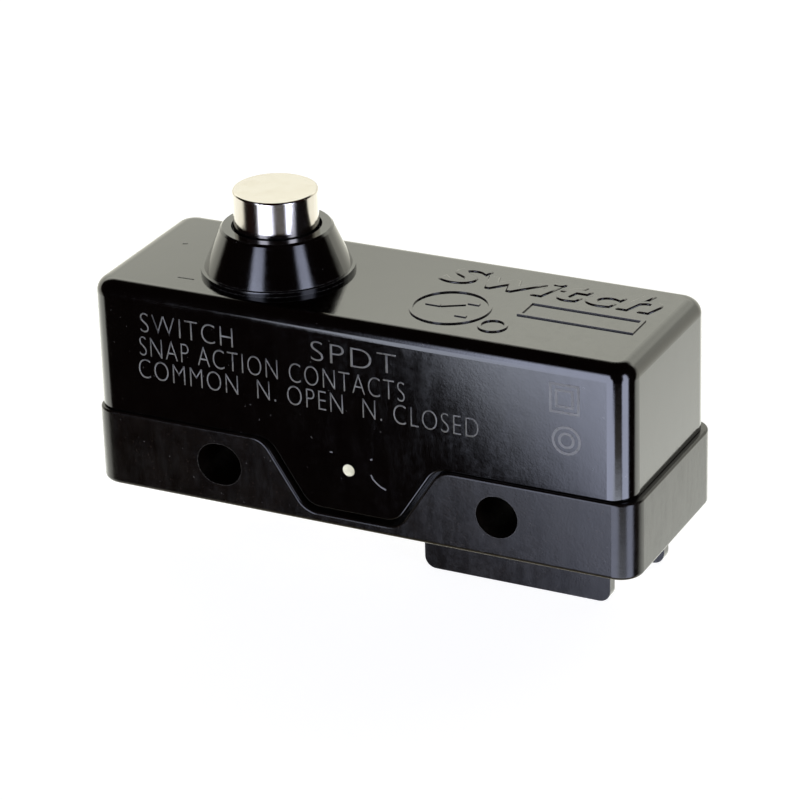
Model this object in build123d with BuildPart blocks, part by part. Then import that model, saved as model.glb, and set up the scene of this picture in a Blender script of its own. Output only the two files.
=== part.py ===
from build123d import *

import math
import os

# Snap-action limit switch. X runs along the case, Y across it, Z up.
# The origin is midway between the two mounting holes, in the middle of the case's thickness.
# All sizes are in millimetres.

# Case
CASE_LENGTH = 49.4
CASE_WIDTH = 17.45
CORNER_R = 2.0
BASE_BOTTOM_Z = -3.72
PARTING_Z = 3.1
COVER_TOP_Z = 14.7
EDGE_R = 0.2
COVER_EDGE_R = 0.15
TOUCH = 0.01

# Mounting holes, one round and one slightly slotted
HOLE_PITCH = 25.4
HOLE_D = 3.7
SLOT_LENGTH = 4.1

# Cover
COVER_INSET = 0.3
COVER_X = -0.2
COVER_BAND = 0.5
COVER_DRAFT_DEG = 0.25
COVER_TOP_R = 1.3
WALL = 1.5
INNER_CORNER_R = 0.6
LIP_HEIGHT = 1.2
LIP_THICKNESS = 0.9
LIP_GAP = 0.1
LIP_HALF_LENGTH = 19.5

# Lobe of the cover that dips into a cut-out on each side of the base
LOBE_X = -0.45
CUT_TOP_HALF = 8.05
CUT_BOTTOM_HALF = 4.25
CUT_BOTTOM_Z = -2.75
CUT_DEPTH = 1.95
CUT_R = 2.0
LOBE_GAP = 0.38
LOBE_THICKNESS = 1.5
CASE_PIN_D = 1.05
CASE_PIN_X = -0.72
CASE_PIN_Z = 1.55
CASE_PIN_GAP = 0.02

# Raised outlines moulded on the cover's top
MARK_HEIGHT = 0.12
MARK_LINE = 0.3
RING_CENTRE = (5.9, -2.2)
RING_R = 3.4
DOT_CENTRE = (10.6, -4.3)
DOT_R = 1.25
PANEL_CENTRE = (16.55, -0.2)
PANEL_SIZE = (10.1, 2.8)

# Plunger and its bushing
PLUNGER_X = -11.0
PLUNGER_D = 7.14
PLUNGER_TOP_Z = 21.8
PLUNGER_BOTTOM_Z = 13.2
PLUNGER_ROOF = 1.6
PLUNGER_BORE_R = 2.55
PLUNGER_EDGE_R = 0.15
RIM_Z = 18.6
RIM_R = 4.77
RIM_MOUTH_R = 3.8
RIM_MOUTH_DEPTH = 0.8
CONE_BASE_R = 6.2
COLLAR_R = 6.5
COLLAR_HEIGHT = 0.4
GUIDE_BORE_R = 3.62
SHOULDER_Z = 14.6
RING_ROOM_R = 4.6
BOSS_R = 6.0
BOSS_BOTTOM_Z = 9.6

# Snap ring on the plunger
RING_GROOVE_R = 3.05
RING_THICKNESS = 0.58
RING_OUTER_R = 4.4
RING_GAP = 0.02
RING_OPENING_DEG = 40.0

# Guide disc and actuator pin
DISC_R = 4.98
DISC_SEAT_R = 5.0
DISC_THICKNESS = 1.0
STEM_R = 1.6
STEM_HOLE_R = 1.65
HEAD_R = 2.5
HEAD_BOTTOM_Z = 14.2
HEAD_TOP_Z = 15.2

# Overtravel spring
COIL_R = 1.85
WIRE_R = 0.25
COIL_TURNS = 5
COIL_END_GAP = 0.02

# Contact blade, pivoting on its left end
BLADE_BOTTOM_Z = 7.0
BLADE_THICKNESS = 0.3
PIVOT_X = -21.4
BLADE_END_X = 11.5
BLADE_HALF_WIDTH = 3.0
BLADE_END_HALF_WIDTH = 2.1
BLADE_CORNER_R = 0.6
BLADE_TONGUE = 4.6
WINDOW_START_X = -9.3
WINDOW_END_X = -1.6
WINDOW_WIDTH = 3.4
BLADE_REST_GAP = 0.02

# Contacts
CONTACT_X = 9.5
CONTACT_R = 1.6
CONTACT_CROWN = 0.2
CONTACT_SHANK_R = 0.8
CONTACT_HEAD_R = 1.2
MOVING_R = 1.5
MOVING_SHANK_R = 1.0
MOVING_BOTTOM_Z = 6.5
MOVING_TOP_Z = 7.9
OPEN_CONTACT_Z = 4.8
CLOSED_CONTACT_Z = 7.92

# Bow spring and its anchor
BOW_START = (-8.3, 6.6)
BOW_PEAK = (-5.0, 8.9)
BOW_END = (-1.69, 7.15)
BOW_THICKNESS = 0.15
BOW_WIDTH = 2.4
ANCHOR_WIDTH = 2.6
ANCHOR_POST = 0.7
ANCHOR_FOOT = 0.6
ANCHOR_LEFT_X = -8.9
ANCHOR_RIGHT_X = -3.9
ANCHOR_TOP_Z = 7.6
ANCHOR_RIVET_X = -5.8
RIVET_R = 0.8
RIVET_HEAD_R = 1.5
RIVET_HEAD = 0.6
NOTCH_HALF = 0.35
NOTCH_ROOT_HALF = 0.18

# Terminals, screws and washers
SHEET = 0.8
FIT_GAP = 0.05
PLATE_WIDTH = 6.6
RISER_WIDTH = 4.8
COLLAR_PIECE_R = 2.4
COLLAR_TOP_Z = -1.9
SCREW_HOLE_R = 1.7
SCREW_R = 1.65
SCREW_TOP_Z = -1.0
SCREW_POCKET_TOP_Z = -0.6
SCREW_HEAD_R = 3.25
SCREW_HEAD_BOTTOM_Z = -6.5
SCREW_SLOT = 0.8
WASHER_SIDE = 6.3
WASHER_THICKNESS = 0.5
LOCK_WASHER_R = 2.9
LOCK_SPLIT = 0.4
COMMON_SCREW_X = -18.2
OPEN_SCREW_X = 7.8
CLOSED_SCREW_X = 18.2
COMMON_RISER_X = -22.0
COMMON_PLATE_END_X = -14.9
COMMON_TOP_Z = 8.4
PIVOT_NOTCH_DEPTH = 0.4
PIVOT_NOTCH_HALF = 0.5
OPEN_RISER_X = 3.6
OPEN_PLATE_END_X = 11.2
CLOSED_RISER_X = 21.2
CLOSED_PLATE_START_X = 14.9
CLOSED_SHELF_Z = 8.9
CLOSED_SHELF_START_X = 7.6

# Thin walls under the base, either side of the right-hand screws
BARRIER_THICKNESS = 0.95
BARRIER_INNER_Y = 3.5
BARRIER_BOTTOM_Z = -8.2
BARRIER_START_X = 4.1
FRONT_BARRIER_END_X = 20.8
REAR_BARRIER_END_X = 22.3
BARRIER_CORNER_R = 1.0

SCREW_XS = (COMMON_SCREW_X, OPEN_SCREW_X, CLOSED_SCREW_X)
PLATE_TOP_Z = BASE_BOTTOM_Z + SHEET
WASHER_BOTTOM_Z = BASE_BOTTOM_Z - WASHER_THICKNESS
LOCK_BOTTOM_Z = WASHER_BOTTOM_Z - WASHER_THICKNESS
BLADE_TOP_Z = BLADE_BOTTOM_Z + BLADE_THICKNESS
BLADE_MID_Z = BLADE_BOTTOM_Z + BLADE_THICKNESS / 2
COVER_LENGTH = CASE_LENGTH - 2 * COVER_INSET
COVER_WIDTH = CASE_WIDTH - 2 * COVER_INSET
INNER_TOP_Z = COVER_TOP_Z - WALL
UPRIGHT = (0, 0, 1)


def block(low, high, mode=Mode.ADD):
    """A block between two opposite corners."""
    size = [top - bottom for bottom, top in zip(low, high)]
    with Locations(low):
        Box(*size, align=Align.MIN, mode=mode)


def centred_block(x_range, width, z_range, mode=Mode.ADD):
    """A block that lies centred across the case."""
    block((x_range[0], -width / 2, z_range[0]), (x_range[1], width / 2, z_range[1]), mode)


def upright_rod(radius, x, z_range, mode=Mode.ADD):
    """A cylinder on the case's mid-plane, between two heights."""
    with Locations((x, 0, z_range[0])):
        Cylinder(radius, z_range[1] - z_range[0], align=(Align.CENTER, Align.CENTER, Align.MIN), mode=mode)


def cross_rod(radius, x, z, length, mode=Mode.ADD):
    """A cylinder that runs across the case."""
    with Locations((x, 0, z)):
        Cylinder(radius, length, rotation=(90, 0, 0), mode=mode)


def turned(outline, x, mode=Mode.ADD):
    """A solid turned about the upright axis at x, from (radius, height) points."""
    with BuildSketch(Plane((x, 0, 0), x_dir=(1, 0, 0), z_dir=(0, -1, 0))) as half:
        with BuildLine():
            Polyline(*outline, close=True)
        make_face()
    revolve(half.sketch, axis=Axis((x, 0, 0), UPRIGHT), mode=mode)


def cross_prism(outline, width, mode=Mode.ADD):
    """A prism across the case, from (x, z) points."""
    with BuildSketch(Plane.XZ) as side:
        with BuildLine():
            Polyline(*outline, close=True)
        make_face()
    extrude(side.sketch, amount=width / 2, both=True, mode=mode)


def lobe_profile(plane, inward, shoulder_z=PARTING_Z):
    """The cut-out's outline, or with a gap the lobe's own; its shoulders reach up to shoulder_z."""
    lean = (CUT_TOP_HALF - CUT_BOTTOM_HALF) / (PARTING_Z - CUT_BOTTOM_Z)
    top_half = CUT_TOP_HALF - inward * math.hypot(1, lean)
    bottom_half = CUT_BOTTOM_HALF - inward * (math.hypot(1, lean) - lean)
    shoulder_half = CUT_TOP_HALF + 2 * CUT_R
    with BuildSketch(plane) as profile:
        with BuildLine():
            Polyline(
                (LOBE_X - shoulder_half, shoulder_z),
                (LOBE_X - shoulder_half, PARTING_Z),
                (LOBE_X - top_half, PARTING_Z),
                (LOBE_X - bottom_half, CUT_BOTTOM_Z + inward),
                (LOBE_X + bottom_half, CUT_BOTTOM_Z + inward),
                (LOBE_X + top_half, PARTING_Z),
                (LOBE_X + shoulder_half, PARTING_Z),
                (LOBE_X + shoulder_half, shoulder_z),
                close=True,
            )
        make_face()
        turns = [p for p in profile.vertices() if abs(p.Y - shoulder_z) > EDGE_R]
        fillet([p for p in turns if abs(p.X - LOBE_X) < shoulder_half - CUT_R], CUT_R)
    return profile.sketch


def outer_rim(piece, length, width, lowest_z, highest_z=PARTING_Z):
    """The edges round a moulding's outer skin where the two halves meet, with the lobe's edges."""
    rim = []
    for edge in piece.edges().filter_by(Axis.Z, reverse=True):
        middle = edge @ 0.5
        on_skin = abs(middle.Y) > width / 2 - TOUCH or abs(middle.X) > length / 2 - CORNER_R / 2
        if on_skin and lowest_z - TOUCH < middle.Z < highest_z + TOUCH:
            rim.append(edge)
    return rim


def build_base():
    half_width = CASE_WIDTH / 2
    with BuildPart() as base:
        with BuildSketch(Plane.XY.offset(BASE_BOTTOM_Z)):
            RectangleRounded(CASE_LENGTH, CASE_WIDTH, CORNER_R)
        extrude(amount=PARTING_Z - BASE_BOTTOM_Z)
        fillet(base.faces().sort_by(Axis.Z)[0].edges(), 2 * EDGE_R)
        # cut-outs for the cover's lobes, front and rear
        for side in (-1, 1):
            face = Plane.XZ.offset(-side * half_width)
            extrude(lobe_profile(face, 0.0, PARTING_Z + LIP_HEIGHT), amount=side * CUT_DEPTH, mode=Mode.SUBTRACT)
        fillet(outer_rim(base, CASE_LENGTH, CASE_WIDTH, CUT_BOTTOM_Z), EDGE_R)
        # lip that locates the cover
        for side in (-1, 1):
            outer_y = COVER_WIDTH / 2 - WALL - LIP_GAP
            with Locations((0, side * (outer_y - LIP_THICKNESS / 2), PARTING_Z)):
                Box(
                    2 * LIP_HALF_LENGTH,
                    LIP_THICKNESS,
                    LIP_HEIGHT,
                    align=(Align.CENTER, Align.CENTER, Align.MIN),
                )
        # walls either side of the right-hand screws
        for side, end_x in ((-1, FRONT_BARRIER_END_X), (1, REAR_BARRIER_END_X)):
            inner, outer = sorted((side * BARRIER_INNER_Y, side * (BARRIER_INNER_Y + BARRIER_THICKNESS)))
            block((BARRIER_START_X, inner, BARRIER_BOTTOM_Z), (end_x, outer, BASE_BOTTOM_Z))
        low_edges = base.edges().filter_by(Axis.Y).filter_by_position(
            Axis.Z, BARRIER_BOTTOM_Z - EDGE_R, BARRIER_BOTTOM_Z + EDGE_R
        )
        fillet(low_edges, BARRIER_CORNER_R)
        cross_rod(CASE_PIN_D / 2 + CASE_PIN_GAP, CASE_PIN_X, CASE_PIN_Z, CASE_WIDTH, Mode.SUBTRACT)
        # mounting holes
        cross_rod(HOLE_D / 2, HOLE_PITCH / 2, 0, CASE_WIDTH, Mode.SUBTRACT)
        with BuildSketch(Plane.XZ.offset(-half_width)):
            with Locations((-HOLE_PITCH / 2, 0)):
                SlotOverall(SLOT_LENGTH, HOLE_D)
        extrude(amount=CASE_WIDTH, mode=Mode.SUBTRACT)
        # recesses and slots for the terminals
        plates = (
            (COMMON_RISER_X, COMMON_PLATE_END_X, COMMON_RISER_X),
            (OPEN_RISER_X, OPEN_PLATE_END_X, OPEN_RISER_X),
            (CLOSED_PLATE_START_X, CLOSED_RISER_X + SHEET, CLOSED_RISER_X),
        )
        for start_x, end_x, riser_x in plates:
            recess_x = (start_x - FIT_GAP, end_x + FIT_GAP)
            slot_x = (riser_x - FIT_GAP, riser_x + SHEET + FIT_GAP)
            centred_block(recess_x, PLATE_WIDTH + 2 * FIT_GAP, (BASE_BOTTOM_Z, PLATE_TOP_Z), Mode.SUBTRACT)
            centred_block(slot_x, RISER_WIDTH + 2 * FIT_GAP, (BASE_BOTTOM_Z, PARTING_Z), Mode.SUBTRACT)
        for x in SCREW_XS:
            pocket_z = (BASE_BOTTOM_Z, COLLAR_TOP_Z + FIT_GAP)
            upright_rod(COLLAR_PIECE_R + FIT_GAP, x, pocket_z, Mode.SUBTRACT)
            upright_rod(SCREW_HOLE_R + FIT_GAP, x, (BASE_BOTTOM_Z, SCREW_POCKET_TOP_Z), Mode.SUBTRACT)
        # rivet hole for the spring's anchor
        head_room = (BASE_BOTTOM_Z, BASE_BOTTOM_Z + RIVET_HEAD)
        upright_rod(RIVET_R, ANCHOR_RIVET_X, (BASE_BOTTOM_Z, PARTING_Z), Mode.SUBTRACT)
        upright_rod(RIVET_HEAD_R + FIT_GAP, ANCHOR_RIVET_X, head_room, Mode.SUBTRACT)
    return base


def build_cover():
    with BuildPart() as cover:
        with BuildSketch(Plane((COVER_X, 0, PARTING_Z))):
            RectangleRounded(COVER_LENGTH, COVER_WIDTH, CORNER_R)
        extrude(amount=COVER_BAND)
        with BuildSketch(Plane((COVER_X, 0, PARTING_Z + COVER_BAND))):
            RectangleRounded(COVER_LENGTH, COVER_WIDTH, CORNER_R)
        extrude(amount=COVER_TOP_Z - PARTING_Z - COVER_BAND, taper=COVER_DRAFT_DEG)
        fillet(cover.faces().sort_by(Axis.Z)[-1].edges(), COVER_TOP_R)
        with BuildSketch(Plane((COVER_X, 0, PARTING_Z))):
            RectangleRounded(COVER_LENGTH - 2 * WALL, COVER_WIDTH - 2 * WALL, INNER_CORNER_R)
        extrude(amount=INNER_TOP_Z - PARTING_Z, mode=Mode.SUBTRACT)
        # lobes, front and rear
        for side in (-1, 1):
            face = Plane.XZ.offset(-side * COVER_WIDTH / 2)
            extrude(lobe_profile(face, LOBE_GAP, PARTING_Z + COVER_BAND), amount=side * LOBE_THICKNESS)
        lobe_bottom_z = CUT_BOTTOM_Z + LOBE_GAP
        fillet(outer_rim(cover, COVER_LENGTH, COVER_WIDTH, lobe_bottom_z, PARTING_Z), COVER_EDGE_R)
        cross_rod(CASE_PIN_D / 2 + CASE_PIN_GAP, CASE_PIN_X, CASE_PIN_Z, CASE_WIDTH, Mode.SUBTRACT)
        # tapered bushing outside, boss inside, and the stepped bore through both
        turned(
            (
                (0, INNER_TOP_Z),
                (COLLAR_R, INNER_TOP_Z),
                (COLLAR_R, COVER_TOP_Z + COLLAR_HEIGHT),
                (CONE_BASE_R, COVER_TOP_Z + COLLAR_HEIGHT),
                (RIM_R, RIM_Z - EDGE_R),
                (RIM_R - EDGE_R, RIM_Z),
                (0, RIM_Z),
            ),
            PLUNGER_X,
        )
        upright_rod(BOSS_R, PLUNGER_X, (BOSS_BOTTOM_Z, INNER_TOP_Z))
        seat_z = BOSS_BOTTOM_Z + DISC_THICKNESS
        mouth_z = RIM_Z - RIM_MOUTH_DEPTH
        upright_rod(DISC_SEAT_R, PLUNGER_X, (BOSS_BOTTOM_Z, seat_z), Mode.SUBTRACT)
        upright_rod(RING_ROOM_R, PLUNGER_X, (seat_z, SHOULDER_Z), Mode.SUBTRACT)
        upright_rod(GUIDE_BORE_R, PLUNGER_X, (SHOULDER_Z, mouth_z), Mode.SUBTRACT)
        upright_rod(RIM_MOUTH_R, PLUNGER_X, (mouth_z, RIM_Z), Mode.SUBTRACT)
        # raised outlines on the top
        with BuildSketch(Plane.XY.offset(COVER_TOP_Z)):
            for centre, radius in ((RING_CENTRE, RING_R), (DOT_CENTRE, DOT_R)):
                with Locations(centre):
                    Circle(radius)
                    Circle(radius - MARK_LINE, mode=Mode.SUBTRACT)
            with Locations(PANEL_CENTRE):
                Rectangle(*PANEL_SIZE)
                Rectangle(*(side - 2 * MARK_LINE for side in PANEL_SIZE), mode=Mode.SUBTRACT)
        extrude(amount=MARK_HEIGHT)
    return cover


def build_case_pin():
    with BuildPart() as pin:
        cross_rod(CASE_PIN_D / 2, CASE_PIN_X, CASE_PIN_Z, COVER_WIDTH)
    return pin


def build_plunger():
    outer_r = PLUNGER_D / 2
    groove_bottom_z = SHOULDER_Z - RING_THICKNESS - 2 * RING_GAP
    with BuildPart() as plunger:
        turned(
            (
                (PLUNGER_BORE_R, PLUNGER_BOTTOM_Z),
                (outer_r, PLUNGER_BOTTOM_Z),
                (outer_r, groove_bottom_z),
                (RING_GROOVE_R, groove_bottom_z),
                (RING_GROOVE_R, SHOULDER_Z),
                (outer_r, SHOULDER_Z),
                (outer_r, PLUNGER_TOP_Z),
                (0, PLUNGER_TOP_Z),
                (0, PLUNGER_TOP_Z - PLUNGER_ROOF),
                (PLUNGER_BORE_R, PLUNGER_TOP_Z - PLUNGER_ROOF),
            ),
            PLUNGER_X,
        )
        fillet(plunger.faces().sort_by(Axis.Z)[-1].edges(), PLUNGER_EDGE_R)
    return plunger


def build_plunger_ring():
    bottom_z = SHOULDER_Z - RING_THICKNESS - RING_GAP
    opening = RING_OUTER_R * math.tan(math.radians(RING_OPENING_DEG / 2))
    with BuildPart() as ring:
        with BuildSketch(Plane.XY.offset(bottom_z)):
            with Locations((PLUNGER_X, 0)):
                Circle(RING_OUTER_R)
                Circle(RING_GROOVE_R + RING_GAP, mode=Mode.SUBTRACT)
            with BuildLine():
                Polyline(
                    (PLUNGER_X, 0),
                    (PLUNGER_X + RING_OUTER_R, -opening),
                    (PLUNGER_X + RING_OUTER_R, opening),
                    close=True,
                )
            make_face(mode=Mode.SUBTRACT)
        extrude(amount=RING_THICKNESS)
    return ring


def build_overtravel_spring():
    start_z = HEAD_TOP_Z + WIRE_R + COIL_END_GAP
    height = PLUNGER_TOP_Z - PLUNGER_ROOF - WIRE_R - COIL_END_GAP - start_z
    coil = Helix(pitch=height / COIL_TURNS, height=height, radius=COIL_R, center=(PLUNGER_X, 0, start_z))
    with BuildPart() as spring:
        with BuildSketch(Plane(coil @ 0, z_dir=coil % 0)):
            Circle(WIRE_R)
        sweep(path=coil, is_frenet=True)
    return spring


def build_actuator_pin():
    dome_z = BLADE_TOP_Z + BLADE_REST_GAP + STEM_R
    with BuildPart() as actuator:
        upright_rod(HEAD_R, PLUNGER_X, (HEAD_BOTTOM_Z, HEAD_TOP_Z))
        upright_rod(STEM_R, PLUNGER_X, (dome_z, HEAD_BOTTOM_Z))
        with Locations((PLUNGER_X, 0, dome_z)):
            Sphere(STEM_R)
    return actuator


def build_pin_guide():
    with BuildPart() as guide:
        disc_z = (BOSS_BOTTOM_Z, BOSS_BOTTOM_Z + DISC_THICKNESS)
        upright_rod(DISC_R, PLUNGER_X, disc_z)
        upright_rod(STEM_HOLE_R, PLUNGER_X, disc_z, Mode.SUBTRACT)
    return guide


def build_contact_blade():
    with BuildPart() as blade:
        with BuildSketch(Plane.XY.offset(BLADE_BOTTOM_Z)) as outline:
            with BuildLine():
                Polyline(
                    (PIVOT_X, -BLADE_TONGUE / 2),
                    (COMMON_SCREW_X, -BLADE_HALF_WIDTH),
                    (WINDOW_END_X, -BLADE_HALF_WIDTH),
                    (BLADE_END_X, -BLADE_END_HALF_WIDTH),
                    (BLADE_END_X, BLADE_END_HALF_WIDTH),
                    (WINDOW_END_X, BLADE_HALF_WIDTH),
                    (COMMON_SCREW_X, BLADE_HALF_WIDTH),
                    (PIVOT_X, BLADE_TONGUE / 2),
                    close=True,
                )
            make_face()
            fillet(outline.vertices().sort_by(Axis.X)[-2:], BLADE_CORNER_R)
            with Locations(((WINDOW_START_X + WINDOW_END_X) / 2, 0)):
                Rectangle(WINDOW_END_X - WINDOW_START_X, WINDOW_WIDTH, mode=Mode.SUBTRACT)
            with Locations((CONTACT_X, 0)):
                Circle(MOVING_SHANK_R, mode=Mode.SUBTRACT)
        extrude(amount=BLADE_THICKNESS)
        cross_rod(BLADE_THICKNESS / 2, PIVOT_X, BLADE_MID_Z, BLADE_TONGUE)
    return blade


def build_moving_contact():
    with BuildPart() as contact:
        upright_rod(MOVING_R, CONTACT_X, (MOVING_BOTTOM_Z, BLADE_BOTTOM_Z))
        upright_rod(MOVING_SHANK_R, CONTACT_X, (BLADE_BOTTOM_Z, BLADE_TOP_Z))
        upright_rod(MOVING_R, CONTACT_X, (BLADE_TOP_Z, MOVING_TOP_Z))
    return contact


def build_bow_spring():
    with BuildPart() as bow:
        with BuildSketch(Plane.XZ) as side:
            with BuildLine() as leaf:
                ThreePointArc(BOW_START, BOW_PEAK, BOW_END)
            trace(leaf.line, BOW_THICKNESS)
        extrude(side.sketch, amount=BOW_WIDTH / 2, both=True)
        cross_rod(BOW_THICKNESS / 2, *BOW_START, BOW_WIDTH)
    return bow


def build_spring_anchor():
    post_x = ANCHOR_LEFT_X + ANCHOR_POST
    notch_x, notch_z = BOW_START
    root_x = notch_x - BOW_THICKNESS
    with BuildPart() as anchor:
        centred_block((ANCHOR_LEFT_X, ANCHOR_RIGHT_X), ANCHOR_WIDTH, (PARTING_Z, PARTING_Z + ANCHOR_FOOT))
        centred_block((ANCHOR_LEFT_X, post_x), ANCHOR_WIDTH, (PARTING_Z, ANCHOR_TOP_Z))
        cross_prism(
            (
                (post_x, notch_z - NOTCH_HALF),
                (post_x, notch_z + NOTCH_HALF),
                (root_x, notch_z + NOTCH_ROOT_HALF),
                (root_x, notch_z - NOTCH_ROOT_HALF),
            ),
            ANCHOR_WIDTH,
            Mode.SUBTRACT,
        )
        upright_rod(RIVET_R, ANCHOR_RIVET_X, (PARTING_Z, PARTING_Z + ANCHOR_FOOT), Mode.SUBTRACT)
    return anchor


def build_anchor_rivet():
    head_z = BASE_BOTTOM_Z + RIVET_HEAD
    foot_z = PARTING_Z + ANCHOR_FOOT
    with BuildPart() as rivet:
        upright_rod(RIVET_HEAD_R, ANCHOR_RIVET_X, (BASE_BOTTOM_Z + FIT_GAP, head_z))
        upright_rod(RIVET_R, ANCHOR_RIVET_X, (head_z, foot_z))
        upright_rod(RIVET_HEAD_R - EDGE_R, ANCHOR_RIVET_X, (foot_z, foot_z + RIVET_HEAD))
        fillet(rivet.faces().sort_by(Axis.Z)[-1].edges(), RIVET_HEAD / 2)
    return rivet


def terminal_plate(plate_x, riser_x, riser_top_z, screw_x):
    """A terminal's plate under the base, its riser, and the tapped collar for its screw."""
    centred_block(plate_x, PLATE_WIDTH, (BASE_BOTTOM_Z, PLATE_TOP_Z))
    centred_block((riser_x, riser_x + SHEET), RISER_WIDTH, (BASE_BOTTOM_Z, riser_top_z))
    upright_rod(COLLAR_PIECE_R, screw_x, (BASE_BOTTOM_Z, COLLAR_TOP_Z))
    upright_rod(SCREW_HOLE_R, screw_x, (BASE_BOTTOM_Z, COLLAR_TOP_Z), Mode.SUBTRACT)


def build_common_terminal():
    face_x = COMMON_RISER_X + SHEET
    root_x = face_x - PIVOT_NOTCH_DEPTH
    with BuildPart() as terminal:
        terminal_plate(
            (COMMON_RISER_X, COMMON_PLATE_END_X), COMMON_RISER_X, COMMON_TOP_Z, COMMON_SCREW_X
        )
        # notch that the blade's end pivots in
        cross_prism(
            (
                (face_x, BLADE_MID_Z - PIVOT_NOTCH_HALF),
                (face_x, BLADE_MID_Z + PIVOT_NOTCH_HALF),
                (root_x, BLADE_MID_Z + NOTCH_ROOT_HALF),
                (root_x, BLADE_MID_Z - NOTCH_ROOT_HALF),
            ),
            RISER_WIDTH,
            Mode.SUBTRACT,
        )
    return terminal


def build_open_terminal():
    shelf_z = (PARTING_Z, PARTING_Z + SHEET)
    with BuildPart() as terminal:
        terminal_plate((OPEN_RISER_X, OPEN_PLATE_END_X), OPEN_RISER_X, shelf_z[1], OPEN_SCREW_X)
        centred_block((OPEN_RISER_X, BLADE_END_X), RISER_WIDTH, shelf_z)
        upright_rod(CONTACT_SHANK_R, CONTACT_X, shelf_z, Mode.SUBTRACT)
    return terminal


def build_closed_terminal():
    shelf_z = (CLOSED_SHELF_Z, CLOSED_SHELF_Z + SHEET)
    end_x = CLOSED_RISER_X + SHEET
    with BuildPart() as terminal:
        terminal_plate((CLOSED_PLATE_START_X, end_x), CLOSED_RISER_X, shelf_z[1], CLOSED_SCREW_X)
        centred_block((CLOSED_SHELF_START_X, end_x), RISER_WIDTH, shelf_z)
        upright_rod(CONTACT_SHANK_R, CONTACT_X, shelf_z, Mode.SUBTRACT)
    return terminal


def crowned_contact(face_z, seat_z, shank_end_z):
    """A rivet contact with a crowned face at face_z, on a shelf whose near side is at seat_z."""
    towards_seat = math.copysign(1, seat_z - face_z)
    crown_z = face_z + towards_seat * CONTACT_CROWN
    with BuildSketch(Plane((CONTACT_X, 0, 0), x_dir=(1, 0, 0), z_dir=(0, -1, 0))) as half:
        with BuildLine():
            crown_r = (CONTACT_R**2 + CONTACT_CROWN**2) / (2 * CONTACT_CROWN)
            RadiusArc((0, face_z), (CONTACT_R, crown_z), -towards_seat * crown_r)
            Polyline(
                (CONTACT_R, crown_z),
                (CONTACT_R, seat_z),
                (CONTACT_SHANK_R, seat_z),
                (CONTACT_SHANK_R, shank_end_z),
                (0, shank_end_z),
                (0, face_z),
            )
        make_face()
    revolve(half.sketch, axis=Axis((CONTACT_X, 0, 0), UPRIGHT))


def build_open_contact():
    with BuildPart() as contact:
        crowned_contact(OPEN_CONTACT_Z, PARTING_Z + SHEET, PARTING_Z)
    return contact


def build_closed_contact():
    shelf_top_z = CLOSED_SHELF_Z + SHEET
    with BuildPart() as contact:
        crowned_contact(CLOSED_CONTACT_Z, CLOSED_SHELF_Z, shelf_top_z)
        upright_rod(CONTACT_HEAD_R, CONTACT_X, (shelf_top_z, shelf_top_z + RIVET_HEAD / 2))
    return contact


def build_terminal_screws():
    slot_z = (SCREW_HEAD_BOTTOM_Z, SCREW_HEAD_BOTTOM_Z + SCREW_SLOT)
    with BuildPart() as screws:
        for x in SCREW_XS:
            upright_rod(SCREW_R, x, (LOCK_BOTTOM_Z, SCREW_TOP_Z))
            upright_rod(SCREW_HEAD_R, x, (SCREW_HEAD_BOTTOM_Z, LOCK_BOTTOM_Z))
        rims = screws.faces().filter_by_position(
            Axis.Z, SCREW_HEAD_BOTTOM_Z - EDGE_R, SCREW_HEAD_BOTTOM_Z + EDGE_R
        )
        fillet(rims.edges(), 2 * EDGE_R)
        for x in SCREW_XS:
            slot_x = (x - SCREW_SLOT / 2, x + SCREW_SLOT / 2)
            centred_block(slot_x, 2 * SCREW_HEAD_R, slot_z, Mode.SUBTRACT)
    return screws


def build_terminal_washers():
    with BuildPart() as washers:
        with BuildSketch(Plane.XY.offset(WASHER_BOTTOM_Z)):
            with Locations(*((x, 0) for x in SCREW_XS)):
                RectangleRounded(WASHER_SIDE, WASHER_SIDE, 2 * EDGE_R)
                Circle(SCREW_HOLE_R + FIT_GAP, mode=Mode.SUBTRACT)
        extrude(amount=WASHER_THICKNESS)
    return washers


def build_lock_washers():
    with BuildPart() as washers:
        with BuildSketch(Plane.XY.offset(LOCK_BOTTOM_Z)):
            with Locations(*((x, 0) for x in SCREW_XS)):
                Circle(LOCK_WASHER_R)
                Circle(SCREW_HOLE_R + FIT_GAP, mode=Mode.SUBTRACT)
            with Locations(*((x, -LOCK_WASHER_R / 2) for x in SCREW_XS)):
                Rectangle(LOCK_SPLIT, LOCK_WASHER_R, mode=Mode.SUBTRACT)
        extrude(amount=WASHER_THICKNESS)
    return washers


PIECES = {
    "base": build_base,
    "cover": build_cover,
    "case_pin": build_case_pin,
    "plunger": build_plunger,
    "plunger_ring": build_plunger_ring,
    "overtravel_spring": build_overtravel_spring,
    "actuator_pin": build_actuator_pin,
    "pin_guide": build_pin_guide,
    "contact_blade": build_contact_blade,
    "moving_contact": build_moving_contact,
    "bow_spring": build_bow_spring,
    "spring_anchor": build_spring_anchor,
    "anchor_rivet": build_anchor_rivet,
    "common_terminal": build_common_terminal,
    "open_terminal": build_open_terminal,
    "closed_terminal": build_closed_terminal,
    "open_contact": build_open_contact,
    "closed_contact": build_closed_contact,
    "terminal_screws": build_terminal_screws,
    "terminal_washers": build_terminal_washers,
    "terminal_lock_washers": build_lock_washers,
}

os.makedirs("parts", exist_ok=True)
for label, build in PIECES.items():
    piece = build()
    piece.part.label = label
    export_step(piece.part, f"parts/{label}.step")
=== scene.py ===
import math

import bmesh
import bpy
from mathutils import Matrix, Vector


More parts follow.
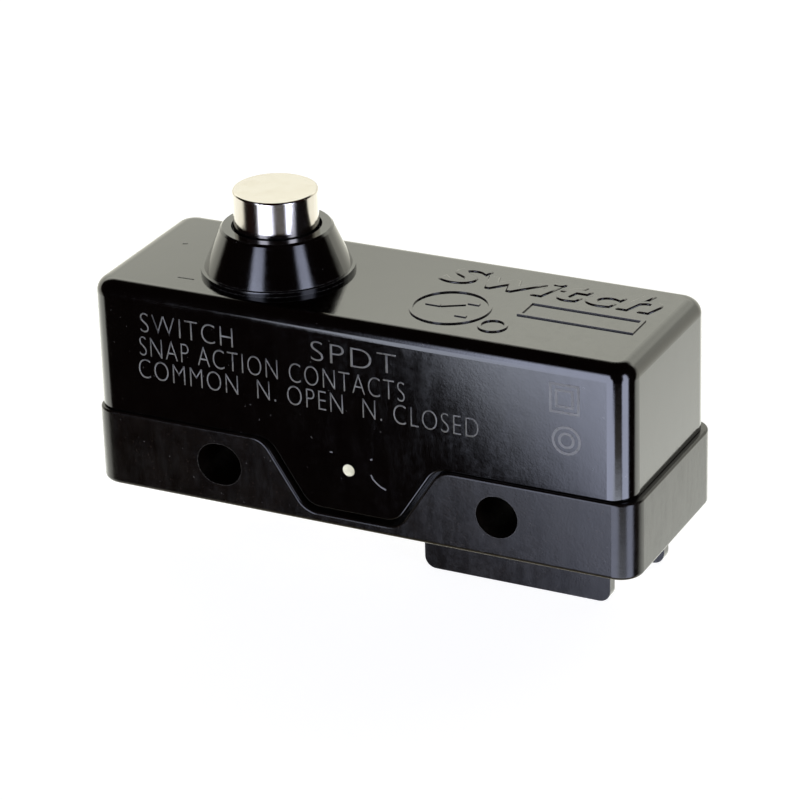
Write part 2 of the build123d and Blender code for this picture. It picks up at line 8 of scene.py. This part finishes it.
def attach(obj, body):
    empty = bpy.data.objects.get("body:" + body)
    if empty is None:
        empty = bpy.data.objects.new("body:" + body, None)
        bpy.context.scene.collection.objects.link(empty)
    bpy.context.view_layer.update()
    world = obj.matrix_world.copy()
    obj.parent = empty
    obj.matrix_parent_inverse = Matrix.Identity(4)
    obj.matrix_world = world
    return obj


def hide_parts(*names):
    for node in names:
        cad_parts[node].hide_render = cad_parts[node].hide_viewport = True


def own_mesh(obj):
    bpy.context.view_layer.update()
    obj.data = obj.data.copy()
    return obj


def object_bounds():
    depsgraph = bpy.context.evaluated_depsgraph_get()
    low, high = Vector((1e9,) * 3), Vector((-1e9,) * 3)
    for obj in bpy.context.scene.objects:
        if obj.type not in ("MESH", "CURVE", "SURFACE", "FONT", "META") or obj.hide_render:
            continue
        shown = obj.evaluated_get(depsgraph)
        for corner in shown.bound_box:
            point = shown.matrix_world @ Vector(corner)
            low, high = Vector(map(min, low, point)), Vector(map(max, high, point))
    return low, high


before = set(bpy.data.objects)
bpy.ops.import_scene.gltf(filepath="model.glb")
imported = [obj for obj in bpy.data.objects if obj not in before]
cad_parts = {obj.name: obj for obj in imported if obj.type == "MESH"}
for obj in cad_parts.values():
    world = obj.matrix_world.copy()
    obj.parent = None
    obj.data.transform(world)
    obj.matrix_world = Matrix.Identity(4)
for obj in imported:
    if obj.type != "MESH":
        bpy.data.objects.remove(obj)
cad_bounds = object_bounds()

MM = 0.001
UP = Vector((0, 0, 1))
FRONT = Vector((0, -1, 0))
ALONG = Vector((1, 0, 0))

# ---------------------------------------------------------------- places on the frame


def outer_facet(node, direction):
    """A point on the outermost big facet that faces roughly one way, and its normal."""
    facing = [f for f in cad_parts[node].data.polygons if f.normal.dot(direction) > 0.98]
    big = [f for f in facing if f.area > max(other.area for other in facing) / 3]
    outermost = max(big, key=lambda f: f.center.dot(direction))
    return outermost.center.copy(), outermost.normal.copy()


# ---------------------------------------------------------------- material helpers


def new_material(name):
    material = bpy.data.materials.new(name)
    material.use_nodes = True
    tree = material.node_tree
    shader = tree.nodes["Principled BSDF"]
    return material, tree, shader


def add_node(tree, kind, inputs=None, **settings):
    """A shader node with its settings and inputs; an input is a value or another node's socket."""
    node = tree.nodes.new(kind)
    for key, value in settings.items():
        setattr(node, key, value)
    for key, value in (inputs or {}).items():
        socket = node.inputs[key]
        if isinstance(value, bpy.types.NodeSocket):
            tree.links.new(value, socket)
        else:
            socket.default_value = value
    return node


def arithmetic(tree, operation, *values):
    return add_node(tree, "ShaderNodeMath", dict(enumerate(values)), operation=operation).outputs[0]


def vector_arithmetic(tree, operation, *values):
    return add_node(tree, "ShaderNodeVectorMath", dict(enumerate(values)), operation=operation).outputs[0]


def object_place(tree, stretch=(1, 1, 1)):
    """Object coordinates, stretched for streaky textures."""
    place = add_node(tree, "ShaderNodeTexCoord").outputs["Object"]
    return add_node(tree, "ShaderNodeMapping", {"Vector": place, "Scale": stretch}).outputs["Vector"]


def noise(tree, size, detail=4.0, stretch=(1, 1, 1), roughness=0.5):
    """A noise whose blotches are about size metres across."""
    return add_node(
        tree,
        "ShaderNodeTexNoise",
        {
            "Vector": object_place(tree, stretch),
            "Scale": 1 / size,
            "Detail": detail,
            "Roughness": roughness,
        },
    ).outputs["Fac"]


def remap(tree, value, low, high, to_low, to_high):
    """The value carried from one range to another, with ends held."""
    return add_node(
        tree,
        "ShaderNodeMapRange",
        {0: value, 1: low, 2: high, 3: to_low, 4: to_high},
        interpolation_type="SMOOTHSTEP",
    ).outputs[0]


def mix_colour(tree, amount, first, second):
    return add_node(
        tree,
        "ShaderNodeMix",
        {0: amount, 6: first, 7: second},
        data_type="RGBA",
    ).outputs[2]


def scaled(colour, factor):
    """The colour made lighter or darker, still opaque."""
    return [factor * c for c in colour[:3]] + [1]


def bump(tree, height, distance, normal=None):
    inputs = {"Height": height, "Distance": distance, "Strength": 1.0}
    if normal is not None:
        inputs["Normal"] = normal
    return add_node(tree, "ShaderNodeBump", inputs).outputs["Normal"]


def edge_mask(tree, radius):
    """1 along edges and 0 on open faces."""
    rounded = add_node(tree, "ShaderNodeBevel", {"Radius": radius}, samples=4).outputs["Normal"]
    true_normal = add_node(tree, "ShaderNodeNewGeometry").outputs["Normal"]
    turn = add_node(
        tree, "ShaderNodeVectorMath", {0: rounded, 1: true_normal}, operation="DOT_PRODUCT"
    ).outputs["Value"]
    return remap(tree, turn, 0.8, 0.995, 1.0, 0.0)


# ---------------------------------------------------------------- materials

# how fast the mouldings' normals lean out along the case and up it, per metre
BOW_ALONG = 3.0
BOW_UP = 5.0
THERMOSET_IOR = 1.55
DUST = (0.05, 0.049, 0.046, 1)
# lighter edge colour: partly rubbed wear, partly a painted highlight where the edges catch the light
RUBBED_EDGE_AND_HIGHLIGHT = (0.05, 0.0475, 0.043, 1)
BROWN = (0.05, 0.022, 0.012, 1)
LIGHT_BROWN = (0.1, 0.05, 0.03, 1)


def bowed_normal(tree, middle_z):
    """The surface normal, leaning outwards along the case and away from middle_z, as on a bowed moulding."""
    place = add_node(tree, "ShaderNodeSeparateXYZ", {0: object_place(tree)}).outputs
    lean_x = arithmetic(tree, "MULTIPLY", place["X"], BOW_ALONG)
    lean_z = arithmetic(tree, "MULTIPLY", arithmetic(tree, "SUBTRACT", place["Z"], middle_z), BOW_UP)
    lean = add_node(tree, "ShaderNodeCombineXYZ", {"X": lean_x, "Z": lean_z}).outputs[0]
    normal = add_node(tree, "ShaderNodeNewGeometry").outputs["Normal"]
    return vector_arithmetic(tree, "NORMALIZE", vector_arithmetic(tree, "ADD", normal, lean))


def moulding(name, dark, light, rough_low, rough_high, grain, wave, middle_z, shine):
    """Black thermoset: mottled colour with dust, edges lightened as rubbed wear and as a painted edge
    highlight, uneven gloss, fine grain and slight waves.
    """
    material, tree, shader = new_material(name)
    mottle = noise(tree, 2.2 * MM, 6)
    speck = remap(tree, noise(tree, 0.18 * MM, 2), 0.66, 0.74, 0, 1)
    # edge mask: lightens the edges as rubbed wear plus a painted edge highlight, broken into dashes by noise
    rubbed_and_highlight = edge_mask(tree, 0.18 * MM)
    colour = mix_colour(tree, remap(tree, mottle, 0.3, 0.75, 0, 1), dark, light)
    colour = mix_colour(tree, speck, colour, scaled(light, 3.2))
    dust = remap(tree, noise(tree, 0.32 * MM, 1), 0.77, 0.82, 0, 1)
    colour = mix_colour(tree, dust, colour, DUST)
    edge_breaks = remap(tree, noise(tree, 0.3 * MM, 3), 0.42, 0.62, 0.35, 1)
    rubbed_and_highlight = arithmetic(tree, "MULTIPLY", rubbed_and_highlight, edge_breaks)
    colour = mix_colour(tree, rubbed_and_highlight, colour, RUBBED_EDGE_AND_HIGHLIGHT)
    gloss = noise(tree, 0.5 * MM, 6, roughness=0.65)
    streak = noise(tree, 0.8 * MM, 4, stretch=(1, 1, 0.25))
    patchy = arithmetic(tree, "MULTIPLY", gloss, streak)
    rough = remap(tree, patchy, 0.1, 0.45, rough_low, rough_high)
    fine = bump(tree, noise(tree, 0.16 * MM, 3), grain, bowed_normal(tree, middle_z))
    waves = bump(tree, noise(tree, 3.5 * MM, 3), wave, fine)
    tree.links.new(colour, shader.inputs["Base Color"])
    tree.links.new(rough, shader.inputs["Roughness"])
    tree.links.new(waves, shader.inputs["Normal"])
    shader.inputs["IOR"].default_value = THERMOSET_IOR
    shader.inputs["Specular IOR Level"].default_value = shine
    return material


def metal(name, colour, worn, rough_low, rough_high, stretch, grain, streak_size=0.35 * MM):
    """Metal with tool marks along one direction, uneven polish and small dull spots."""
    material, tree, shader = new_material(name)
    marks = noise(tree, streak_size, 5, stretch=stretch, roughness=0.7)
    stain = noise(tree, 1.8 * MM, 5)
    tint = mix_colour(tree, remap(tree, stain, 0.4, 0.72, 0, 1), colour, worn)
    rough = remap(tree, marks, 0.3, 0.7, rough_low, rough_high)
    tree.links.new(tint, shader.inputs["Base Color"])
    tree.links.new(rough, shader.inputs["Roughness"])
    tree.links.new(bump(tree, marks, grain), shader.inputs["Normal"])
    shader.inputs["Metallic"].default_value = 1.0
    return material


def print_ink(name, colour, coverage):
    """Thin pad-printed ink, with small gaps where it didn't take."""
    material, tree, shader = new_material(name)
    gaps = noise(tree, 0.22 * MM, 4)
    missing = remap(tree, gaps, coverage - 0.08, coverage + 0.05, 0, 1)
    patch = noise(tree, 3 * MM, 3)
    tint = mix_colour(tree, remap(tree, patch, 0.3, 0.7, 0, 1), colour, scaled(colour, 0.75))
    tint = mix_colour(tree, missing, tint, scaled(colour, 0.25))
    tree.links.new(tint, shader.inputs["Base Color"])
    tree.links.new(remap(tree, gaps, 0.3, 0.7, 0.45, 0.7), shader.inputs["Roughness"])
    tree.links.new(bump(tree, gaps, 0.002 * MM), shader.inputs["Normal"])
    return material


def insulator(name):
    """Dark brown moulded insulator."""
    material, tree, shader = new_material(name)
    flow = noise(tree, 1.2 * MM, 5, stretch=(1, 1, 0.4))
    colour = mix_colour(tree, remap(tree, flow, 0.35, 0.7, 0, 1), BROWN, LIGHT_BROWN)
    tree.links.new(colour, shader.inputs["Base Color"])
    tree.links.new(remap(tree, flow, 0.3, 0.7, 0.35, 0.55), shader.inputs["Roughness"])
    tree.links.new(bump(tree, noise(tree, 0.15 * MM, 2), 0.004 * MM), shader.inputs["Normal"])
    return material


cover_black = moulding(
    "cover_thermoset",
    dark=(0.0006, 0.0004, 0.0004, 1),
    light=(0.0012, 0.0009, 0.0008, 1),
    rough_low=0.075,
    rough_high=0.15,
    grain=0.002 * MM,
    wave=0.008 * MM,
    middle_z=9 * MM,
    shine=0.5,
)
base_black = moulding(
    "base_thermoset",
    dark=(0.0018, 0.001, 0.0006, 1),
    light=(0.0052, 0.0036, 0.0026, 1),
    rough_low=0.18,
    rough_high=0.27,
    grain=0.004 * MM,
    wave=0.01 * MM,
    middle_z=0.0,
    shine=0.26,
)
plunger_steel = metal(
    "plated_steel",
    (0.475, 0.445, 0.405, 1),
    (0.455, 0.42, 0.375, 1),
    rough_low=0.1,
    rough_high=0.18,
    stretch=(1, 1, 14),
    grain=0.001 * MM,
)
steel = metal(
    "zinc_steel", (0.66, 0.66, 0.64, 1), (0.5, 0.48, 0.42, 1), 0.25, 0.45, (1, 1, 3), 0.003 * MM
)
pin_steel = metal(
    "pin_steel", (0.66, 0.62, 0.43, 1), (0.3, 0.27, 0.17, 1), 0.3, 0.5, (1, 1, 1), 0.02 * MM, 0.25 * MM
)
spring_wire = metal(
    "spring_wire", (0.45, 0.45, 0.46, 1), (0.3, 0.29, 0.28, 1), 0.2, 0.35, (1, 1, 1), 0.001 * MM
)
brass = metal("brass", (0.78, 0.58, 0.27, 1), (0.55, 0.36, 0.15, 1), 0.22, 0.42, (6, 1, 1), 0.002 * MM)
copper_alloy = metal(
    "copper_alloy", (0.8, 0.5, 0.33, 1), (0.6, 0.34, 0.2, 1), 0.2, 0.36, (0.12, 1, 1), 0.0015 * MM
)
silver = metal("silver", (0.9, 0.89, 0.86, 1), (0.62, 0.6, 0.56, 1), 0.2, 0.45, (1, 1, 1), 0.002 * MM)
brown_insulator = insulator("brown_insulator")
ink = print_ink("grey_ink", (0.13, 0.1275, 0.119, 1), 0.66)
# light grey for small raised marks on the front: a painted highlight, not ink or wear
painted_mark_highlight = print_ink("painted_mark_highlight", (0.16, 0.16, 0.165, 1), 0.6)
faint_ink = print_ink("faint_ink", (0.165, 0.1635, 0.162, 1), 0.7)
nick_black = print_ink("nick_black", (0.02, 0.019, 0.018, 1), 0.7)

NODE_MATERIALS = {
    "base": base_black,
    "cover": cover_black,
    "case_pin": pin_steel,
    "plunger": plunger_steel,
    "plunger_ring": steel,
    "overtravel_spring": spring_wire,
    "actuator_pin": brown_insulator,
    "pin_guide": brown_insulator,
    "contact_blade": copper_alloy,
    "moving_contact": silver,
    "bow_spring": copper_alloy,
    "spring_anchor": brass,
    "anchor_rivet": brass,
    "common_terminal": brass,
    "open_terminal": brass,
    "closed_terminal": brass,
    "open_contact": silver,
    "closed_contact": silver,
    "terminal_screws": steel,
    "terminal_washers": steel,
    "terminal_lock_washers": steel,
}
for node_name, material in NODE_MATERIALS.items():
    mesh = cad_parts[node_name].data
    mesh.materials.clear()
    mesh.materials.append(material)

# ---------------------------------------------------------------- the overtravel spring


def build_coil():
    """The spring under the plunger's roof, which stands on the actuator pin: a copy of the CAD spring,
    parented to the actuator's body.
    """
    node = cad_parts["overtravel_spring"]
    coil = bpy.data.objects.new("overtravel_coil", node.data.copy())
    coil.matrix_world = node.matrix_world
    bpy.context.scene.collection.objects.link(coil)
    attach(coil, "actuator")
    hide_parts("overtravel_spring")
    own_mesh(coil)


build_coil()

# ---------------------------------------------------------------- lettering and marks


def surface_matrix(origin, normal, along=ALONG):
    """Local X runs along the case and local Z stands out of the surface."""
    z = normal.normalized()
    x = (along - z * along.dot(z)).normalized()
    y = z.cross(x)
    turn = Matrix((x, y, z)).transposed().to_4x4()
    return Matrix.Translation(origin) @ turn


def finish_piece(piece, name, material):
    piece.name = name
    piece.data.name = name
    piece.data.materials.clear()
    piece.data.materials.append(material)
    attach(piece, "housing")
    return piece


LETTER_SMOOTHNESS = 6
LETTER_SPACING = 1.12
LETTER_ROUNDING_STEPS = 2


def text_mesh(text, width, height, grow, roundness=0.0, slant=0.0):
    """Lettering as a mesh: its box starts at the origin, with the given width and height."""
    curve = bpy.data.curves.new("lettering", "FONT")
    curve.body = text
    curve.offset = grow
    curve.shear = slant
    curve.resolution_u = LETTER_SMOOTHNESS
    curve.space_character = LETTER_SPACING
    curve.bevel_depth = roundness
    curve.bevel_resolution = LETTER_ROUNDING_STEPS
    holder = bpy.data.objects.new("lettering", curve)
    bpy.context.scene.collection.objects.link(holder)
    bpy.context.view_layer.update()
    mesh = bpy.data.meshes.new_from_object(holder)
    bpy.data.objects.remove(holder)
    xs = [v.co.x for v in mesh.vertices]
    ys = [v.co.y for v in mesh.vertices]
    across, up = width / (max(xs) - min(xs)), height / (max(ys) - min(ys))
    shift = Matrix.Translation((-min(xs), -min(ys), 0))
    mesh.transform(Matrix.Diagonal((across, up, up, 1)) @ shift)
    return mesh


SAME_PLACE = 1e-7


def thicken(mesh, depth):
    """Turns a flat mesh in the XY plane into a closed slab that starts at z = 0."""
    shape = bmesh.new()
    shape.from_mesh(mesh)
    bmesh.ops.remove_doubles(shape, verts=shape.verts, dist=SAME_PLACE)
    grown = bmesh.ops.extrude_face_region(shape, geom=list(shape.faces))
    risen = [item for item in grown["geom"] if isinstance(item, bmesh.types.BMVert)]
    bmesh.ops.translate(shape, verts=risen, vec=(0, 0, depth))
    bmesh.ops.recalc_face_normals(shape, faces=list(shape.faces))
    shape.to_mesh(mesh)
    shape.free()


# keeps the band from spiking out where a line turns sharply
SHARPEST_TURN = 0.4


def outline_mesh(name, loops, line, depth):
    """Raised line work in the XY plane: each loop is (points, closed), drawn as a band of one width."""
    shape = bmesh.new()
    for points, closed in loops:
        count = len(points)
        left, right = [], []
        for i, point in enumerate(points):
            before = points[i - 1] if i or closed else point
            after = points[(i + 1) % count] if i < count - 1 or closed else point
            into = (point - before).normalized() if point != before else Vector((0, 0))
            out = (after - point).normalized() if after != point else Vector((0, 0))
            heading = (into + out).normalized()
            side = Vector((-heading.y, heading.x))
            straight = into if into.length else out
            reach = line / 2 / max(SHARPEST_TURN, abs(side.dot(Vector((-straight.y, straight.x)))))
            left.append(shape.verts.new((*(point + side * reach), 0)))
            right.append(shape.verts.new((*(point - side * reach), 0)))
        for i in range(count if closed else count - 1):
            j = (i + 1) % count
            shape.faces.new((left[i], right[i], right[j], left[j]))
    mesh = bpy.data.meshes.new(name)
    shape.to_mesh(mesh)
    shape.free()
    thicken(mesh, depth)
    return mesh


def circle_points(radius, steps=64):
    """Points round a circle about the origin, without the repeated last point."""
    turns = [2 * math.pi * i / steps for i in range(steps)]
    return [Vector((radius * math.cos(turn), radius * math.sin(turn))) for turn in turns]


def place_mesh(mesh, matrix):
    piece = bpy.data.objects.new(mesh.name, mesh)
    bpy.context.scene.collection.objects.link(piece)
    mesh.transform(matrix)
    return piece


# printing on the front, placed by its distance from the case's middle and its height over the holes
LETTER = 1.75 * MM
LETTER_GROW = -0.018
INK_DEPTH = 0.012 * MM
SYMBOL_LINE = 0.22 * MM
MARK_HIGHLIGHT_WIDTH = 0.13 * MM
face_point, face_normal = outer_facet("cover", FRONT)


def on_front(x, z):
    """The point of the cover's front face at this x and height."""
    y = face_point.y - (z - face_point.z) * face_normal.z / face_normal.y
    return Vector((x, y, z))


def print_line(name, text, left, right, bottom):
    mesh = text_mesh(text, right - left, LETTER, LETTER_GROW)
    thicken(mesh, INK_DEPTH)
    piece = place_mesh(mesh, surface_matrix(on_front(left, bottom), face_normal))
    return finish_piece(piece, name, ink)


print_line("print_kind", "SWITCH", -19.7 * MM, -11.0 * MM, 10.8 * MM)
print_line("print_poles", "SPDT", -3.8 * MM, 3.9 * MM, 10.95 * MM)
print_line("print_action", "SNAP ACTION CONTACTS", -19.9 * MM, 4.6 * MM, 8.65 * MM)
print_line("print_terminals", "COMMON  N. OPEN  N. CLOSED", -20.1 * MM, 11.1 * MM, 6.6 * MM)


def front_symbol(name, loops, x, z):
    mesh = outline_mesh(name, loops, SYMBOL_LINE, INK_DEPTH)
    piece = place_mesh(mesh, surface_matrix(on_front(x, z), face_normal))
    return finish_piece(piece, name, faint_ink)


def square_points(half):
    return [Vector(p) for p in ((-half, -half), (half, -half), (half, half), (-half, half))]


front_symbol(
    "print_double_square",
    [(square_points(1.2 * MM), True), (square_points(0.7 * MM), True)],
    18.6 * MM,
    11.4 * MM,
)
front_symbol(
    "print_rings",
    [(circle_points(1.15 * MM), True), (circle_points(0.6 * MM), True)],
    18.75 * MM,
    7.8 * MM,
)


def front_mark_highlight(name, points):
    """A small raised mark drawn as a thin light line: a painted highlight where its edge catches the light,
    through points given in mm.
    """
    mesh = outline_mesh(name, [([Vector(p) * MM for p in points], False)], MARK_HIGHLIGHT_WIDTH, INK_DEPTH)
    piece = place_mesh(mesh, surface_matrix(on_front(0, 0), face_normal))
    return finish_piece(piece, name, painted_mark_highlight)


# painted highlights: light lines where small marks on the lobe catch the light
front_mark_highlight("mark_highlight_lobe", [(1.34, 1.54), (1.48, 1.2), (1.78, 0.9), (2.2, 0.6), (2.67, 0.42)])
front_mark_highlight("mark_highlight_lobe_high", [(-2.4, 2.95), (-2.15, 2.95)])
front_mark_highlight("mark_highlight_lobe_right", [(1.3, 2.9), (1.5, 2.96)])

# raised marks on the top, in the cover's own plastic
RAISED = 0.08 * MM
SIGN_LINE = 0.32 * MM
NICK_WIDTH = 0.14 * MM
WORD_GROW, WORD_ROUNDNESS, WORD_SLANT = 0.012, 0.022, 0.25
top_z = outer_facet("cover", UP)[0].z


def on_top(x, y):
    return Vector((x, y, top_z))


def raised_word(name, text, left, right, front, back):
    mesh = text_mesh(text, right - left, back - front, WORD_GROW, WORD_ROUNDNESS, WORD_SLANT)
    piece = place_mesh(mesh, surface_matrix(on_top(left, front), UP))
    return finish_piece(piece, name, cover_black)


raised_word("raised_word", "Switch", 2.4 * MM, 21.8 * MM, 2.5 * MM, 6.0 * MM)


def raised_symbol(name, loops, line):
    mesh = outline_mesh(name, loops, line, RAISED)
    piece = place_mesh(mesh, surface_matrix(on_top(0, 0), UP))
    return finish_piece(piece, name, cover_black)


def strokes(centre, ends):
    """Open two-point lines round a centre; centre and ends are in mm."""
    middle = Vector(centre)
    return [([(middle + Vector(a)) * MM, (middle + Vector(b)) * MM], False) for a, b in ends]


# change-over contact sign inside the moulded ring
RING_CENTRE = (5.9, -2.2)
CONTACT_SIGN = [
    ((-2.2, 0), (-0.9, 0)),
    ((-0.9, 0), (0.9, 1.0)),
    ((1.0, 1.3), (2.0, 1.3)),
    ((1.0, -1.3), (2.0, -1.3)),
]
raised_symbol("raised_contact_sign", strokes(RING_CENTRE, CONTACT_SIGN), SIGN_LINE)

# two nicks beside the bushing, drawn as thin dark strokes
NICKS = [((-21.0, 1.5), (-20.6, 1.7)), ((-17.8, -5.05), (-16.3, -5.0))]
nick_mesh = outline_mesh("nicks", strokes((0, 0), NICKS), NICK_WIDTH, INK_DEPTH)
nick_piece = place_mesh(nick_mesh, surface_matrix(on_top(0, 0), UP))
finish_piece(nick_piece, "nicks", nick_black)

# ---------------------------------------------------------------- floor


FLOOR_HALF_SIZE = 3.0
FLOOR_GAP = 0.01 * MM
FLOOR_GLOW = 0.9


def build_floor():
    """A wide plain sheet just under the object, faintly glowing so that it stays white."""
    shape = bmesh.new()
    bmesh.ops.create_grid(shape, x_segments=8, y_segments=8, size=FLOOR_HALF_SIZE)
    mesh = bpy.data.meshes.new("floor")
    shape.to_mesh(mesh)
    shape.free()
    floor = bpy.data.objects.new("floor", mesh)
    floor.location.z = cad_bounds[0].z - FLOOR_GAP
    bpy.context.scene.collection.objects.link(floor)
    material, tree, shader = new_material("floor_white")
    shade = remap(tree, noise(tree, 40 * MM, 2), 0.3, 0.7, 0.4, 0.44)
    tree.links.new(shade, shader.inputs["Base Color"])
    shader.inputs["Roughness"].default_value = 0.9
    shader.inputs["Specular IOR Level"].default_value = 0.1
    shader.inputs["Emission Color"].default_value = (1, 1, 1, 1)
    shader.inputs["Emission Strength"].default_value = FLOOR_GLOW
    mesh.materials.append(material)
    floor.visible_glossy = False


build_floor()

# ---------------------------------------------------------------- studio light


PALE_LOW = (1.98, 2.0, 1.84, 1)
PALE_LEVEL = (1.42, 1.4, 1.22, 1)
PALE_HIGH = (1.56, 1.56, 1.37, 1)
PALE_UPPER = (2.35, 2.35, 2.07, 1)
DARK = (0.016, 0.008, 0.006, 1)
LAMP = (5.3, 5.7, 7.4, 1)
DIM_LAMP = (4.4, 4.7, 5.5, 1)
HAZE = (0.5, 0.47, 0.42, 1)
UNDERNEATH = (0.5, 0.42, 0.26, 1)
WHITE = (1, 1, 1, 1)


class Surroundings:
    """Areas of the surroundings by azimuth (0 in front, growing to the right) and elevation, in degrees."""

    LEVEL = -25

    def __init__(self, tree):
        self.tree = tree
        direction = add_node(tree, "ShaderNodeTexCoord").outputs["Generated"]
        parts = add_node(tree, "ShaderNodeSeparateXYZ", {0: direction}).outputs
        towards = arithmetic(tree, "MULTIPLY", parts["Y"], -1.0)
        self.azimuth = arithmetic(tree, "DEGREES", arithmetic(tree, "ARCTAN2", parts["X"], towards))
        self.elevation = arithmetic(tree, "DEGREES", arithmetic(tree, "ARCSINE", parts["Z"]))
        self.above = arithmetic(tree, "SUBTRACT", self.elevation, self.LEVEL)

    def rising(self, low, high):
        """0 below one elevation and 1 over another."""
        return remap(self.tree, self.elevation, low, high, 0, 1)

    def upright(self, centre, half, soft, lean=0.0, spread=0.0):
        """1 within a tall strip; its middle and its width change with the height over LEVEL."""
        middle = arithmetic(self.tree, "MULTIPLY_ADD", self.above, lean, centre)
        width = arithmetic(self.tree, "MULTIPLY_ADD", self.above, spread, half)
        away = arithmetic(self.tree, "ABSOLUTE", arithmetic(self.tree, "SUBTRACT", self.azimuth, middle))
        inside = arithmetic(self.tree, "SUBTRACT", width, away)
        return remap(self.tree, inside, -soft, soft, 0, 1)

    def both(self, first, second):
        return arithmetic(self.tree, "MULTIPLY", first, second)

    def outside(self, amount):
        return arithmetic(self.tree, "SUBTRACT", 1.0, amount)


def build_studio():
    """Surroundings that only reflections see: the camera itself sees plain white."""
    world = bpy.data.worlds.new("studio")
    bpy.context.scene.world = world
    world.use_nodes = True
    tree = world.node_tree
    tree.nodes.clear()
    around = Surroundings(tree)

    # pale all round, brighter higher up, and dark overhead and on the viewer's side
    colour = mix_colour(tree, around.rising(-27, -12), PALE_LOW, PALE_LEVEL)
    colour = mix_colour(tree, around.rising(2, 20), colour, PALE_HIGH)
    colour = mix_colour(tree, around.rising(20, 27), colour, PALE_UPPER)
    viewer_side = around.upright(27.2, 93.2, 7, lean=-0.2, spread=0.68)
    colour = mix_colour(tree, viewer_side, colour, DARK)
    colour = mix_colour(tree, around.rising(29, 45), colour, DARK)

    # the dim shoulder that the front face mirrors
    shoulder = around.both(around.upright(-0.2, 20.8, 1.3, lean=-0.3), around.outside(around.rising(2, 10)))
    shoulder = around.both(shoulder, around.rising(-31, -16.5))
    colour = mix_colour(tree, shoulder, colour, DIM_LAMP)

    # the two lamps
    below_top = around.outside(around.rising(20, 38))
    left_lamp = around.both(around.upright(3.2, 19.2, 5, lean=-0.3, spread=-0.165), below_top)
    colour = mix_colour(tree, left_lamp, colour, LAMP)
    right_lamp = around.both(around.upright(69.6, 15, 4.5, spread=-0.11), below_top)
    colour = mix_colour(tree, right_lamp, colour, LAMP)

    # the gap between them: dark above, hazy at the level the plunger mirrors, bright below
    gap = around.upright(33, 19, 4)
    trim = around.both(gap, around.both(around.rising(-24.5, -21.5), around.outside(around.rising(-8, 2))))
    colour = mix_colour(tree, trim, colour, DARK)
    haze = around.both(gap, around.outside(around.rising(-25.5, -22)))
    colour = mix_colour(tree, around.both(haze, around.outside(left_lamp)), colour, HAZE)
    low = around.both(gap, around.outside(around.rising(-29.5, -26.5)))
    colour = mix_colour(tree, low, colour, DIM_LAMP)
    colour = mix_colour(tree, around.rising(-62, -42), UNDERNEATH, colour)

    seen = add_node(tree, "ShaderNodeLightPath").outputs["Is Camera Ray"]
    colour = mix_colour(tree, seen, colour, WHITE)
    background = add_node(tree, "ShaderNodeBackground", {"Color": colour, "Strength": 1.0})
    output = add_node(tree, "ShaderNodeOutputWorld")
    tree.links.new(background.outputs[0], output.inputs["Surface"])


build_studio()

# ---------------------------------------------------------------- camera

CAMERA_PLACE = Vector((120.5, -240.7, 128.7)) * MM
CAMERA_AZIMUTH = 26.6
CAMERA_ELEVATION = 24.74
CAMERA_ROLL = -1.71
LENS = 159.9
LENS_RISE = -0.003
SENSOR_WIDTH = 36
NEAREST, FARTHEST = 0.01, 20


def build_camera():
    """A long lens, a little above the case and off its right-hand end."""
    data = bpy.data.cameras.new("camera")
    data.lens = LENS
    data.sensor_width = SENSOR_WIDTH
    data.shift_y = LENS_RISE
    data.clip_start = NEAREST
    data.clip_end = FARTHEST
    camera = bpy.data.objects.new("camera", data)
    bpy.context.scene.collection.objects.link(camera)
    a, e = math.radians(CAMERA_AZIMUTH), math.radians(CAMERA_ELEVATION)
    back = Vector((math.sin(a) * math.cos(e), -math.cos(a) * math.cos(e), math.sin(e)))
    aim = (-back).to_track_quat("-Z", "Y").to_matrix()
    roll = Matrix.Rotation(math.radians(CAMERA_ROLL), 3, "Z")
    camera.matrix_world = Matrix.Translation(CAMERA_PLACE) @ (aim @ roll).to_4x4()
    bpy.context.scene.camera = camera


build_camera()
bpy.context.scene.view_settings.view_transform = "Standard"
bpy.context.scene.view_settings.look = "None"
